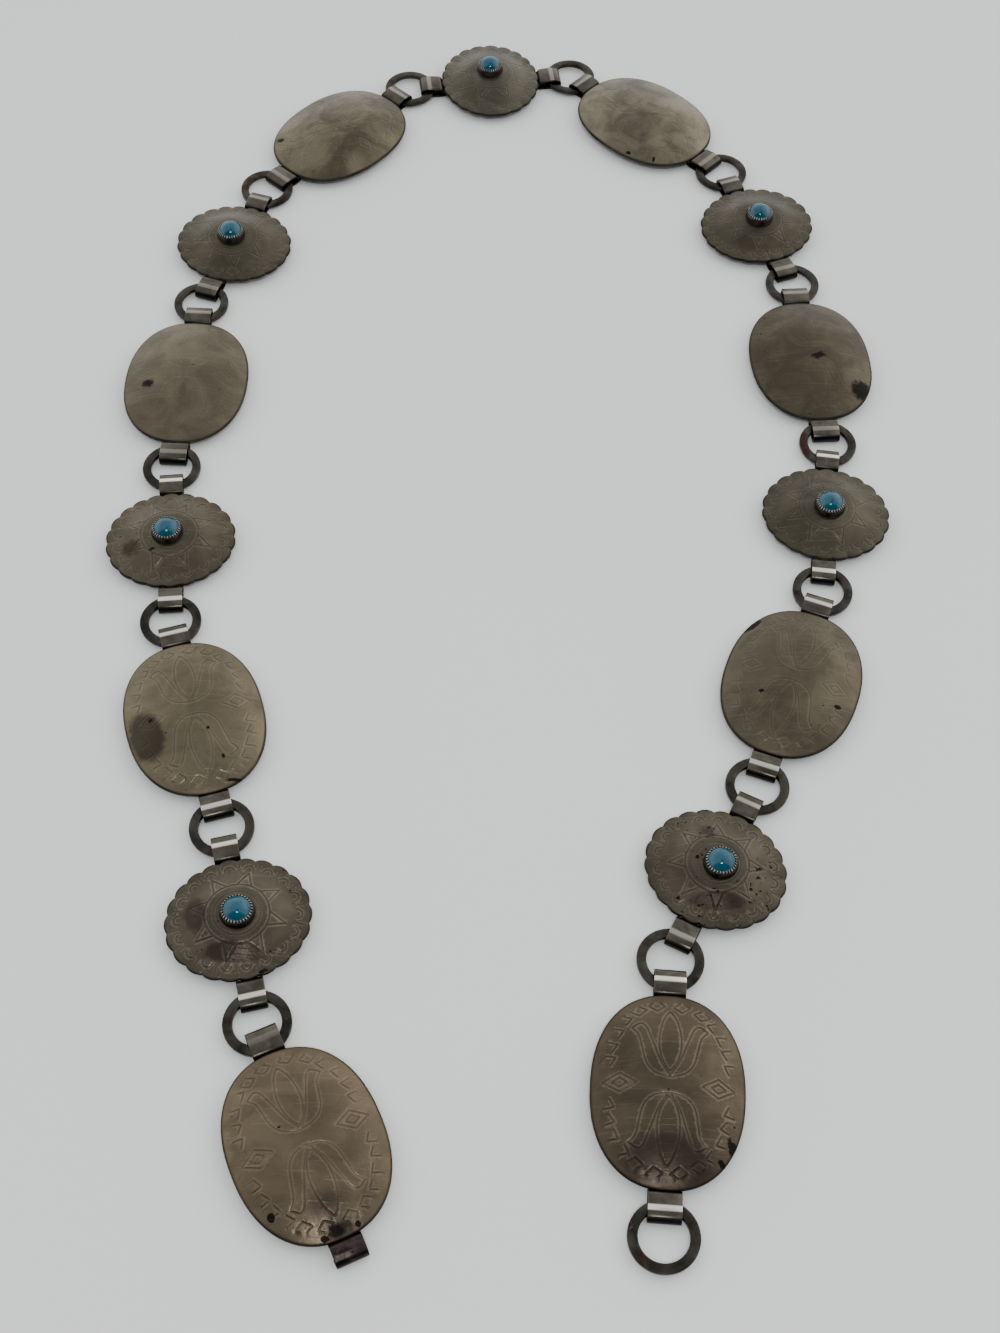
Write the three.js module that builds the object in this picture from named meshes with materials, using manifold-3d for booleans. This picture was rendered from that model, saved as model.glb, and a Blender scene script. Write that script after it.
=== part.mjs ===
// A concho belt laid face up in an open loop. Eight plain oval conchos alternate with seven
// scalloped ones that carry a blue-green stone. Flat rings join them through folded strap loops.
// Millimetres, +Z up, resting on z = 0. +Y runs away from the belt's two free ends.
import * as THREE from 'three';
import { mergeVertices } from 'three/addons/utils/BufferGeometryUtils.js';
import Module from 'manifold-3d';

// Stamped sheet
const SHEET = 0.8;
const RIM_HEIGHT = 2.2;

// Plain oval conchos, with the length measured along the belt
const PLAIN_LENGTH = 45.6;
const PLAIN_WIDTH = 35;
const PLAIN_SQUARENESS = 2.25;
const PLAIN_RISE = 4.2;
const PLAIN_DOME_POWER = 2.2;

// Scalloped conchos: a low dome inside a flatter border. share runs from the centre to the rim,
// and height is a share of the dome's rise.
const SCALLOPED_LENGTH = 31.8;
const SCALLOPED_WIDTH = 35;
const SCALLOPS = 22;
const SCALLOP_DEPTH = 0.6;
const SCALLOPED_RISE = 3.3;
const SCALLOPED_SECTION = [
  { share: 0, height: 1 },
  { share: 0.36, height: 0.92 },
  { share: 0.78, height: 0.2 },
  { share: 1, height: 0 },
];

// Rings
const RING_OUTER = 16;
const RING_INNER = 11.3;
const RING_THICKNESS = 1.3;
const RING_BEVEL = 0.3;
const RING_SIDES = 14;

// Folded straps
const STRAP_THICKNESS = 0.7;
const STRAP_ARCH = 0.35;
const STRAP_TAIL = 8;
const PLAIN_STRAP_WIDTH = 7.5;
const SCALLOPED_STRAP_WIDTH = 6.3;
const PLAIN_LOOP_REACH = 6.8;
const SCALLOPED_LOOP_REACH = 7.2;
const LOOP_START = 0.5;
const RING_CLEARANCE = 0.3;
const TURN_CLEARANCE = 0.25;
const HOOK_REACH = 5;
const HOOK_MOUTH = 2.4;

// Stones and their bezels
const STONE_DIAMETER = 7.3;
const STONE_GIRDLE = 0.5;
const STONE_HEIGHT = 3.8;
const STONE_GAP = 0.15;
const BEZEL_WALL = 0.4;
const BEZEL_HEIGHT = 1.8;
const BEZEL_SIDES = 12;

// How far each bezel was soldered from the middle of its concho, across the belt
const BEZEL_SHIFTS = [0.9, 0.5, 0.45, 1.3, 0.6, 0.5, -0.2];

// How the belt happens to lie, from the end ring to the hook. heading is in degrees turned left
// from +Y. before and after are how far the rings on each side of the concho have slid back from
// the ends of its loops. Plain and scalloped conchos take turns.
const LINKS = [
  { heading: -2.6, before: 0, after: 0.3 },
  { heading: -25.5, before: 0, after: 0 },
  { heading: -18.6, before: 0.3, after: 0.5 },
  { heading: -5.6, before: 0.8, after: 0.4 },
  { heading: 5.7, before: 1.5, after: 0.6 },
  { heading: 22, before: 0.6, after: 0 },
  { heading: 47.7, before: 0, after: 0 },
  { heading: 99, before: 0, after: 0 },
  { heading: 139.8, before: 0, after: 0 },
  { heading: 163.7, before: 0, after: 0.8 },
  { heading: 179.3, before: 0.5, after: 1.3 },
  { heading: 186.9, before: 0.5, after: 0.2 },
  { heading: 198.4, before: 0.9, after: 0.2 },
  { heading: 195.3, before: 0.8, after: 0 },
  { heading: 206, before: 1.3, after: 1.5 },
];

const OVERLAP = 0.25;
const PLAIN_SIDES = 32;
const PLAIN_TOP = [0, 0.4, 0.75, 1];
const PLAIN_UNDER = [0, 0.65, 1];

const wasm = await Module();
wasm.setup();

function toSolid(geometry) {
  const bare = geometry.clone();
  bare.deleteAttribute('normal');
  bare.deleteAttribute('uv');
  const merged = mergeVertices(bare, 1e-4);
  return new wasm.Manifold(new wasm.Mesh({
    numProp: 3,
    vertProperties: new Float32Array(merged.attributes.position.array),
    triVerts: new Uint32Array(merged.index.array),
  }));
}

function toGeometry(solid) {
  const mesh = solid.getMesh();
  const geometry = new THREE.BufferGeometry();
  geometry.setAttribute('position', new THREE.BufferAttribute(new Float32Array(mesh.vertProperties), 3));
  geometry.setIndex(new THREE.BufferAttribute(new Uint32Array(mesh.triVerts), 1));
  geometry.computeVertexNormals();
  return geometry;
}

// Lathe with its axis turned upright
function turned(profile, sides) {
  const points = profile.map(([radius, height]) => new THREE.Vector2(radius, height));
  return new THREE.LatheGeometry(points, sides).rotateX(Math.PI / 2);
}

// Height of the sheet above the rim at a share of the way out from the centre
const plainRise = (share) => PLAIN_RISE * (1 - share ** PLAIN_DOME_POWER);
const DOME_TOP = RIM_HEIGHT + SHEET + SCALLOPED_RISE;

function scallopedRise(share) {
  const next = SCALLOPED_SECTION.findIndex((row) => row.share >= share && row.share > 0);
  const low = SCALLOPED_SECTION[next - 1];
  const high = SCALLOPED_SECTION[next];
  return SCALLOPED_RISE * THREE.MathUtils.mapLinear(share, low.share, high.share, low.height, high.height);
}

const sectionShares = SCALLOPED_SECTION.map((row) => row.share);

const plain = {
  length: PLAIN_LENGTH,
  width: PLAIN_WIDTH,
  squareness: PLAIN_SQUARENESS,
  sides: PLAIN_SIDES,
  rise: plainRise,
  topShares: PLAIN_TOP,
  underShares: PLAIN_UNDER,
  scallop: () => 0,
  strapWidth: PLAIN_STRAP_WIDTH,
  reach: PLAIN_LOOP_REACH,
};

const scalloped = {
  length: SCALLOPED_LENGTH,
  width: SCALLOPED_WIDTH,
  squareness: 2,
  sides: SCALLOPS * 2,
  rise: scallopedRise,
  topShares: sectionShares,
  underShares: sectionShares,
  scallop: (angle) => SCALLOP_DEPTH * (1 - Math.abs(Math.cos((SCALLOPS * (angle - Math.PI / 2)) / 2))),
  strapWidth: SCALLOPED_STRAP_WIDTH,
  reach: SCALLOPED_LOOP_REACH,
};

function outlineRadius(kind, angle) {
  const across = Math.abs(Math.cos(angle)) / (kind.width / 2);
  const along = Math.abs(Math.sin(angle)) / (kind.length / 2);
  return (across ** kind.squareness + along ** kind.squareness) ** (-1 / kind.squareness);
}

// Domed sheet: a lathe of unit radius, stretched to the outline in every direction
function domedSheet(kind) {
  const top = kind.topShares.map((share) => [share, RIM_HEIGHT + SHEET + kind.rise(share)]);
  const under = kind.underShares.map((share) => [share, RIM_HEIGHT + kind.rise(share)]);
  const sheet = turned([...under, ...top.reverse()], kind.sides);
  const position = sheet.attributes.position;
  for (let i = 0; i < position.count; i += 1) {
    const x = position.getX(i);
    const y = position.getY(i);
    const share = Math.hypot(x, y);
    if (share > 1e-6) {
      const angle = Math.atan2(y, x);
      const cut = share > 0.99 ? kind.scallop(angle) : 0;
      const radius = share * outlineRadius(kind, angle) - cut;
      position.setXY(i, Math.cos(angle) * radius, Math.sin(angle) * radius);
    }
  }
  return toSolid(sheet);
}

// Side view of a strap. x runs outward from the rim, y up from the table. The strap is soldered
// under the sheet, passes over the ring, turns down through the ring's hole and comes back under.
const RING_UNDER = STRAP_THICKNESS + RING_CLEARANCE;
const LOOP_INSIDE = RING_THICKNESS + 2 * RING_CLEARANCE;
const LOOP_HEIGHT = LOOP_INSIDE + 2 * STRAP_THICKNESS;
const TURN_INSIDE = LOOP_INSIDE / 2;
const TURN_OUTSIDE = LOOP_HEIGHT / 2;
const TURN_STEPS = 4;

function ringFromRim(kind) {
  const holeFlat = (RING_INNER / 2) * Math.cos(Math.PI / RING_SIDES);
  const insideEnd = kind.reach - STRAP_THICKNESS;
  const turnInset = TURN_INSIDE - Math.sqrt(TURN_INSIDE ** 2 - (RING_THICKNESS / 2) ** 2);
  const holeHalfChord = Math.sqrt(holeFlat ** 2 - (kind.strapWidth / 2) ** 2);
  return insideEnd - turnInset - TURN_CLEARANCE + holeHalfChord;
}

function turnPoints(reach, radius) {
  const centre = reach - TURN_OUTSIDE;
  const points = [];
  for (let i = 0; i <= TURN_STEPS; i += 1) {
    const angle = -Math.PI / 2 + (Math.PI * i) / TURN_STEPS;
    points.push([centre + radius * Math.cos(angle), TURN_OUTSIDE + radius * Math.sin(angle)]);
  }
  return points;
}

function strapProfile(kind, isHook) {
  const half = kind.length / 2;
  const underSheet = (inward) => RIM_HEIGHT + kind.rise((half - inward) / half);
  const reach = isHook ? HOOK_REACH : kind.reach;
  const flatEnd = reach - TURN_OUTSIDE;
  const archFrom = LOOP_START + 0.35 * (flatEnd - LOOP_START);
  const archTo = LOOP_START + 0.75 * (flatEnd - LOOP_START);
  const insideTop = STRAP_THICKNESS + LOOP_INSIDE;
  const middle = STRAP_TAIL / 2;
  const leaves = 2 * STRAP_THICKNESS;
  const tailTop = [
    [0, RIM_HEIGHT + OVERLAP],
    [-middle, underSheet(middle) + OVERLAP],
    [-STRAP_TAIL, underSheet(STRAP_TAIL) + OVERLAP],
  ];
  const tailUnder = [
    [-STRAP_TAIL, underSheet(STRAP_TAIL) + OVERLAP - leaves],
    [-middle, underSheet(middle) + OVERLAP - leaves],
  ];
  const upperOutside = [
    [archTo, LOOP_HEIGHT + STRAP_ARCH],
    [archFrom, LOOP_HEIGHT + STRAP_ARCH],
    [LOOP_START - STRAP_THICKNESS / 2, LOOP_HEIGHT - STRAP_THICKNESS / 4],
  ];
  const upperInside = [
    [archTo, insideTop + STRAP_ARCH],
    [archFrom, insideTop + STRAP_ARCH],
    [LOOP_START, insideTop],
  ];
  const turnOut = turnPoints(reach, TURN_OUTSIDE);
  const turnIn = turnPoints(reach, TURN_INSIDE);
  const pinch = -STRAP_THICKNESS;
  if (isHook) {
    const open = [
      ...tailUnder,
      [pinch, RIM_HEIGHT + OVERLAP - leaves],
      ...[...upperInside].reverse(),
      ...[...turnIn].reverse(),
      [HOOK_MOUTH, STRAP_THICKNESS],
      [HOOK_MOUTH, 0],
      ...turnOut,
      ...upperOutside,
      ...tailTop,
    ];
    return new THREE.Shape(open.map(([x, y]) => new THREE.Vector2(x, y)));
  }
  const outside = [...tailUnder, [pinch, 0], ...turnOut, ...upperOutside, ...tailTop];
  const inside = [[pinch, STRAP_THICKNESS], ...turnIn, ...upperInside, [pinch, RIM_HEIGHT - STRAP_THICKNESS]];
  const shape = new THREE.Shape(outside.map(([x, y]) => new THREE.Vector2(x, y)));
  shape.holes.push(new THREE.Path(inside.map(([x, y]) => new THREE.Vector2(x, y))));
  return shape;
}

// side is 1 for the strap towards +Y and -1 for the one towards -Y
function strap(kind, side, isHook) {
  const body = new THREE.ExtrudeGeometry(strapProfile(kind, isHook), {
    depth: kind.strapWidth,
    bevelEnabled: false,
  });
  body.translate(0, 0, -kind.strapWidth / 2);
  const upright = new THREE.Matrix4().makeBasis(
    new THREE.Vector3(0, 1, 0),
    new THREE.Vector3(0, 0, 1),
    new THREE.Vector3(1, 0, 0),
  );
  body.applyMatrix4(upright);
  body.translate(0, kind.length / 2, 0);
  if (side < 0) {
    body.rotateZ(Math.PI);
  }
  return toSolid(body);
}

// Radius of the stone at a height above its flat back
function stoneRadius(height) {
  if (height <= STONE_GIRDLE) {
    return STONE_DIAMETER / 2;
  }
  const up = (height - STONE_GIRDLE) / (STONE_HEIGHT - STONE_GIRDLE);
  return (STONE_DIAMETER / 2) * Math.sqrt(Math.max(0, 1 - up ** 2));
}

function stoneGeometry() {
  const dome = [0.3, 0.55, 0.78, 0.93].map((share) => {
    const height = STONE_GIRDLE + share * (STONE_HEIGHT - STONE_GIRDLE);
    return [stoneRadius(height), height];
  });
  const profile = [[0, 0], [STONE_DIAMETER / 2, 0], [STONE_DIAMETER / 2, STONE_GIRDLE], ...dome, [0, STONE_HEIGHT]];
  return mergedLathe(profile, BEZEL_SIDES);
}

// The bezel's top leans in over the stone and holds it
function bezel(shift) {
  const inner = STONE_DIAMETER / 2 + STONE_GAP;
  const outer = inner + BEZEL_WALL;
  const lipInner = stoneRadius(BEZEL_HEIGHT - STONE_GAP) + STONE_GAP;
  const root = -SHEET / 2;
  const profile = [
    [inner, root],
    [outer, root],
    [outer, BEZEL_HEIGHT / 2],
    [lipInner + BEZEL_WALL / 2, BEZEL_HEIGHT],
    [lipInner, BEZEL_HEIGHT],
    [inner, BEZEL_HEIGHT / 2],
    [inner, root],
  ];
  return toSolid(turned(profile, BEZEL_SIDES).translate(shift, 0, DOME_TOP));
}

function mergedLathe(profile, sides) {
  return toGeometry(toSolid(turned(profile, sides)));
}

function conchoBody(kind, endIsHook) {
  return domedSheet(kind).add(strap(kind, -1, false)).add(strap(kind, 1, endIsHook));
}

function ringGeometry() {
  const inner = RING_INNER / 2;
  const outer = RING_OUTER / 2;
  const profile = [
    [inner, 0],
    [outer - RING_BEVEL, 0],
    [outer, RING_BEVEL],
    [outer, RING_THICKNESS - RING_BEVEL],
    [outer - RING_BEVEL, RING_THICKNESS],
    [inner, RING_THICKNESS],
    [inner, 0],
  ];
  return mergedLathe(profile, RING_SIDES);
}

const nickelSilver = new THREE.MeshStandardMaterial({ color: 0x7a7161, roughness: 0.42, metalness: 0.95 });
const darkNickel = new THREE.MeshStandardMaterial({ color: 0x3d362d, roughness: 0.5, metalness: 0.9 });
const turquoise = new THREE.MeshStandardMaterial({ color: 0x2e8fae, roughness: 0.18, metalness: 0 });

const plainGeometry = toGeometry(conchoBody(plain, false));
const plainHookGeometry = toGeometry(conchoBody(plain, true));
const scallopedBody = conchoBody(scalloped, false);
const linkGeometry = ringGeometry();
const stone = stoneGeometry();

function named(name, geometry, material) {
  const mesh = new THREE.Mesh(geometry, material);
  mesh.name = name;
  return mesh;
}

const belt = new THREE.Group();
const here = new THREE.Vector3(0, 0, 0);
let plainCount = 0;
let scallopedCount = 0;

LINKS.forEach((link, index) => {
  const isPlain = index % 2 === 0;
  const kind = isPlain ? plain : scalloped;
  const heading = THREE.MathUtils.degToRad(link.heading);
  const forward = new THREE.Vector3(-Math.sin(heading), Math.cos(heading), 0);
  const pulledTight = kind.length / 2 + ringFromRim(kind);

  const ringName = index === 0 ? 'end_ring' : `link_ring_${index}`;
  const ring = named(ringName, linkGeometry, darkNickel);
  ring.position.set(here.x, here.y, RING_UNDER);
  belt.add(ring);

  here.addScaledVector(forward, pulledTight - link.before);
  const place = new THREE.Group();
  place.position.copy(here);
  place.rotation.z = heading;
  if (isPlain) {
    plainCount += 1;
    const isLast = index === LINKS.length - 1;
    place.add(named(`plain_concho_${plainCount}`, isLast ? plainHookGeometry : plainGeometry, nickelSilver));
  } else {
    const shift = BEZEL_SHIFTS[scallopedCount];
    scallopedCount += 1;
    const scallopedGeometry = toGeometry(scallopedBody.add(bezel(shift)));
    place.add(named(`scalloped_concho_${scallopedCount}`, scallopedGeometry, nickelSilver));
    const gem = named(`turquoise_${scallopedCount}`, stone, turquoise);
    gem.position.set(shift, 0, DOME_TOP + STONE_GAP);
    place.add(gem);
  }
  belt.add(place);
  here.addScaledVector(forward, pulledTight - link.after);
});

// The frame's origin is under the middle of the laid belt
const box = new THREE.Box3().setFromObject(belt, true);
const middle = box.getCenter(new THREE.Vector3());
belt.children.forEach((child) => {
  child.position.x -= middle.x;
  child.position.y -= middle.y;
});

export default belt;
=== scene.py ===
import math

import bpy
import numpy as np
from mathutils import Matrix, Vector
from mathutils.geometry import delaunay_2d_cdt


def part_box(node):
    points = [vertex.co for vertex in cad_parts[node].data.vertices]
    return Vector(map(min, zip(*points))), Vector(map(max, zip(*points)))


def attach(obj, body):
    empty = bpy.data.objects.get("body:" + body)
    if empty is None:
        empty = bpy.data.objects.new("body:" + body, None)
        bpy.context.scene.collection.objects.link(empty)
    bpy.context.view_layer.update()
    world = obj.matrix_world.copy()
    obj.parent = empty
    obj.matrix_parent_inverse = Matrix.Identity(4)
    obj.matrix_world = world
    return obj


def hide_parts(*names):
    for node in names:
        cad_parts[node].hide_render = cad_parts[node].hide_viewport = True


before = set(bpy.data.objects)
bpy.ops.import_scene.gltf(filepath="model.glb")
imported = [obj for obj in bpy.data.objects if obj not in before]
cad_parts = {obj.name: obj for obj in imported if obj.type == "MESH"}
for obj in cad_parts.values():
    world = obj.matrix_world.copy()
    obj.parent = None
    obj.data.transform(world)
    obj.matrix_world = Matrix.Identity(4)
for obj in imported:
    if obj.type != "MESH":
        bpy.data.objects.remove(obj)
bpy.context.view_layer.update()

MM = 0.001

# Stamped sheet, in millimetres
SHEET = 0.8
RIM_HEIGHT = 2.2
RIM_ROUND = 0.3
PLAIN_RISE = 4.2
PLAIN_DOME_POWER = 2.2
SCALLOPED_RISE = 3.3
SCALLOPED_SHARES = (0.0, 0.36, 0.78, 1.0)
SCALLOPED_HEIGHTS = (1.0, 0.92, 0.2, 0.0)
SCALLOPED_SLOPES = (0.0, -0.5, -1.3, -0.8)
DOME_TOP = RIM_HEIGHT + SHEET + SCALLOPED_RISE

# Straps and rings
STRAP_THICKNESS = 0.7
RING_OUTER = 16.0
RING_INNER = 11.3
RING_THICKNESS = 1.3
LOOP_HEIGHT = 3.3
LOOP_CREST = 3.66
HOOK_REACH = 5.0
HOOK_MOUTH = 2.4

# Stones and bezels
STONE_RADIUS = 3.6
STONE_GIRDLE = 0.5
STONE_HEIGHT = 3.8
STONE_GAP = 0.15
TEETH_BASE = 1.66

# Inputs of the two node trees, in metres
TEETH = {"Teeth": 30, "Radius": 0.00378, "Tooth width": 0.00029, "Tooth height": 0.00078, "Lean": 0.75}
FLAT_RING = {"Outer diameter": RING_OUTER * MM, "Hole diameter": RING_INNER * MM,
             "Thickness": RING_THICKNESS * MM, "Edge rounding": 0.00028}

SCALLOPS = 22
SCALLOP_DEPTH = 0.6

PLAIN = {"length": 45.6, "width": 35.0, "squareness": 2.25, "strap": 7.5, "reach": 6.8, "rim_points": 200}
SCALLOPED = {"length": 31.8, "width": 35.0, "squareness": 2.0, "strap": 6.3, "reach": 7.2, "rim_points": 264}

# Camera, found from the ovals and rings in the photo: focal length in pixels of the photo's
# long side, degrees, and millimetres in the frame
PHOTO_SIDE = 1333.0
CAMERA_FOCAL = 1826.5
CAMERA_PITCH = 56.489
CAMERA_ROLL = 1.714
CAMERA_YAW = 0.151
CAMERA_PLACE = (3.04, -306.8, 395.39)

# How bright the room is, and the dim patches in it: direction, inner and outer angle, what is left
ROOM_LEVEL = 1.8
DIM_PATCHES = [((0.1, -0.15, 1.0), 5.0, 13.0, 0.3)]


# Node trees

def new_tree(name, kind, inputs, outputs=()):
    """A node group. The kind of each input follows from its default value, and outputs are numbers."""
    tree = bpy.data.node_groups.new(name, kind)
    kinds = {int: "NodeSocketInt", float: "NodeSocketFloat", tuple: "NodeSocketVector"}
    for key, value in inputs.items():
        socket = tree.interface.new_socket(key, in_out="INPUT", socket_type=kinds[type(value)])
        socket.default_value = value
    for key in outputs:
        tree.interface.new_socket(key, in_out="OUTPUT", socket_type="NodeSocketFloat")
    return tree


class Bench:
    """Short ways to add and join nodes in one tree."""

    def __init__(self, tree):
        self.tree = tree

    def add(self, kind, **settings):
        node = self.tree.nodes.new(kind)
        for key, value in settings.items():
            setattr(node, key, value)
        return node

    def feed(self, socket, value):
        if isinstance(value, bpy.types.NodeSocket):
            self.tree.links.new(value, socket)
        else:
            socket.default_value = value

    def maths(self, operation, *values):
        node = self.add("ShaderNodeMath", operation=operation)
        for socket, value in zip(node.inputs, values):
            self.feed(socket, value)
        return node.outputs[0]

    def mix(self, amount, low, high):
        node = self.add("ShaderNodeMix", data_type="RGBA")
        self.feed(node.inputs[0], amount)
        for socket, value in ((node.inputs[6], low), (node.inputs[7], high)):
            if isinstance(value, tuple) and len(value) == 3:
                value = value + (1.0,)
            self.feed(socket, value)
        return node.outputs[2]

    def cover(self, colour, mask, amount, tint):
        return self.mix(self.maths("MULTIPLY", mask, amount), colour, tint)

    def noise(self, place, scale, detail=3.0, rough=0.55, distortion=0.0):
        node = self.add("ShaderNodeTexNoise")
        self.feed(node.inputs["Vector"], place)
        self.feed(node.inputs["Scale"], scale)
        self.feed(node.inputs["Detail"], detail)
        self.feed(node.inputs["Roughness"], rough)
        self.feed(node.inputs["Distortion"], distortion)
        return node.outputs["Fac"]

    def between(self, value, low, high, to_low=0.0, to_high=1.0):
        node = self.add("ShaderNodeMapRange", interpolation_type="SMOOTHSTEP")
        keys = ("Value", "From Min", "From Max", "To Min", "To Max")
        for key, amount in zip(keys, (value, low, high, to_low, to_high)):
            self.feed(node.inputs[key], amount)
        return node.outputs["Result"]

    def group(self, group, **values):
        node = self.add("ShaderNodeGroup", node_tree=group)
        for key, value in values.items():
            self.feed(node.inputs[key.replace("_", " ")], value)
        return node.outputs


# Camera and light

def add_camera():
    data = bpy.data.cameras.new("camera")
    data.sensor_width = 36.0
    data.lens = CAMERA_FOCAL * data.sensor_width / PHOTO_SIDE
    data.clip_start = 0.01
    data.clip_end = 20.0
    camera = bpy.data.objects.new("camera", data)
    bpy.context.scene.collection.objects.link(camera)
    turn = Matrix.Rotation(math.radians(CAMERA_YAW), 4, "Z")
    tilt = Matrix.Rotation(math.radians(90.0 - CAMERA_PITCH), 4, "X")
    roll = Matrix.Rotation(math.radians(CAMERA_ROLL), 4, "Z")
    place = Matrix.Translation(Vector(CAMERA_PLACE) * MM)
    camera.matrix_world = place @ turn @ tilt @ roll
    bpy.context.scene.camera = camera


def add_area_light(name, place, target, size, power, colour):
    data = bpy.data.lights.new(name, "AREA")
    data.shape = "RECTANGLE"
    data.size, data.size_y = size
    data.energy = power
    data.color = colour
    light = bpy.data.objects.new(name, data)
    bpy.context.scene.collection.objects.link(light)
    light.location = place
    aim = Vector(target) - Vector(place)
    light.rotation_euler = aim.to_track_quat("-Z", "Y").to_euler()


def add_room_light():
    """A pale room that is dark on the near side, a window at the right and a lamp above the camera."""
    world = bpy.data.worlds.new("studio")
    bpy.context.scene.world = world
    world.use_nodes = True
    world.node_tree.nodes.clear()
    b = Bench(world.node_tree)
    out = b.add("ShaderNodeOutputWorld")
    sky = b.add("ShaderNodeBackground")
    way = b.add("ShaderNodeTexCoord").outputs["Generated"]
    parts = b.add("ShaderNodeSeparateXYZ")
    b.feed(parts.inputs[0], way)
    walls = b.between(parts.outputs["Z"], 0.35, 0.9, 1.0, 0.62)
    near_side = b.between(parts.outputs["Y"], -0.6, -0.22, 0.1, 1.0)
    level = b.maths("MULTIPLY", walls, near_side)
    for direction, inner, outer, low in DIM_PATCHES:
        dot = b.add("ShaderNodeVectorMath", operation="DOT_PRODUCT")
        b.feed(dot.inputs[0], way)
        dot.inputs[1].default_value = Vector(direction).normalized()
        wide, narrow = math.cos(math.radians(outer)), math.cos(math.radians(inner))
        level = b.maths("MULTIPLY", level, b.between(dot.outputs["Value"], wide, narrow, 1.0, low))
    tint = b.mix(parts.outputs["Z"], (1.0, 0.99, 0.975), (0.93, 0.96, 1.0))
    b.feed(sky.inputs["Color"], tint)
    b.feed(sky.inputs["Strength"], b.maths("MULTIPLY", level, ROOM_LEVEL))
    b.feed(out.inputs[0], sky.outputs[0])
    add_area_light("window", (1.1, 0.6, 0.95), (0.0, 0.0, 0.0), (1.3, 1.3), 3.6, (1.0, 0.99, 0.97))
    add_area_light("lamp", (0.04, -0.74, 1.28), (0.0, 0.0, 0.0), (0.3, 0.2), 4.4, (0.97, 0.99, 1.0))


# Meshes from arrays of millimetres

def mesh_object(name, points, faces, materials, slots=None, attributes=None):
    mesh = bpy.data.meshes.new(name)
    mesh.from_pydata([tuple(p) for p in np.asarray(points) * MM], [], [tuple(map(int, f)) for f in faces])
    for material in materials:
        mesh.materials.append(material)
    if slots is not None:
        mesh.polygons.foreach_set("material_index", np.asarray(slots, dtype=np.int32))
    mesh.polygons.foreach_set("use_smooth", np.ones(len(mesh.polygons), dtype=bool))
    for key, values in (attributes or {}).items():
        layer = mesh.attributes.new(key, "FLOAT", "POINT")
        layer.data.foreach_set("value", np.asarray(values, dtype=np.float32))
    mesh.validate()
    mesh.update()
    piece = bpy.data.objects.new(name, mesh)
    bpy.context.scene.collection.objects.link(piece)
    return piece


def lathe(profile, sides):
    """Faces of a profile turned about the upright axis. A profile point on the axis closes the end."""
    angles = np.linspace(0.0, 2.0 * math.pi, sides, endpoint=False)
    points, rows, faces = [], [], []
    for radius, height in profile:
        if radius < 1e-6:
            rows.append([len(points)])
            points.append((0.0, 0.0, height))
        else:
            rows.append(list(range(len(points), len(points) + sides)))
            points.extend((radius * math.cos(a), radius * math.sin(a), height) for a in angles)
    for low, high in zip(rows[:-1], rows[1:]):
        for i in range(sides):
            j = (i + 1) % sides
            if len(low) == 1:
                faces.append((low[0], high[j], high[i]))
            elif len(high) == 1:
                faces.append((low[i], low[j], high[0]))
            else:
                faces.append((low[i], low[j], high[j], high[i]))
    return np.array(points), faces


# Outlines and dome

def outline_radius(kind, angle):
    across = np.abs(np.cos(angle)) / (kind["width"] / 2)
    along = np.abs(np.sin(angle)) / (kind["length"] / 2)
    power = kind["squareness"]
    return (across ** power + along ** power) ** (-1.0 / power)


def rim_share(kind, xy):
    """How far out a point lies, 0 in the middle and 1 on the rim."""
    power = kind["squareness"]
    across = np.abs(xy[:, 0]) / (kind["width"] / 2)
    along = np.abs(xy[:, 1]) / (kind["length"] / 2)
    return (across ** power + along ** power) ** (1.0 / power)


def plain_rise(share):
    return PLAIN_RISE * (1.0 - np.clip(share, 0.0, 1.0) ** PLAIN_DOME_POWER)


def scalloped_rise(share):
    """A smooth line through the section's shares, with a given slope at each."""
    share = np.clip(np.asarray(share, dtype=float), 0.0, 1.0)
    shares, heights, slopes = (np.array(v) for v in (SCALLOPED_SHARES, SCALLOPED_HEIGHTS, SCALLOPED_SLOPES))
    k = np.clip(np.searchsorted(shares, share) - 1, 0, len(shares) - 2)
    span = shares[k + 1] - shares[k]
    t = (share - shares[k]) / span
    start = (2 * t ** 3 - 3 * t ** 2 + 1) * heights[k] + (t ** 3 - 2 * t ** 2 + t) * span * slopes[k]
    stop = (3 * t ** 2 - 2 * t ** 3) * heights[k + 1] + (t ** 3 - t ** 2) * span * slopes[k + 1]
    return SCALLOPED_RISE * (start + stop)


PLAIN["rise"] = plain_rise
SCALLOPED["rise"] = scalloped_rise


# Stamped pattern: every tool mark is a line of points across the sheet

def smooth_line(points, step=0.35):
    """A rounded line through a few chosen points, resampled to even steps."""
    p = np.asarray(points, dtype=float)
    ends = np.vstack([2 * p[0] - p[1], p, 2 * p[-1] - p[-2]])
    out = []
    for k in range(1, len(ends) - 2):
        a, b, c, d = ends[k - 1], ends[k], ends[k + 1], ends[k + 2]
        for t in np.linspace(0.0, 1.0, 14, endpoint=False):
            out.append(0.5 * (2 * b + (c - a) * t + (2 * a - 5 * b + 4 * c - d) * t ** 2
                              + (3 * b - a - 3 * c + d) * t ** 3))
    out.append(p[-1])
    return even_line(np.array(out), step)


def even_line(p, step=0.35):
    run = np.concatenate([[0.0], np.cumsum(np.linalg.norm(np.diff(p, axis=0), axis=1))])
    count = max(2, int(round(run[-1] / step)) + 1)
    at = np.linspace(0.0, run[-1], count)
    return np.column_stack([np.interp(at, run, p[:, 0]), np.interp(at, run, p[:, 1])])


def corner_line(points, step=0.35):
    p = np.asarray(points, dtype=float)
    parts = [even_line(p[k:k + 2], step) for k in range(len(p) - 1)]
    return np.vstack([parts[0]] + [part[1:] for part in parts[1:]])


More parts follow.
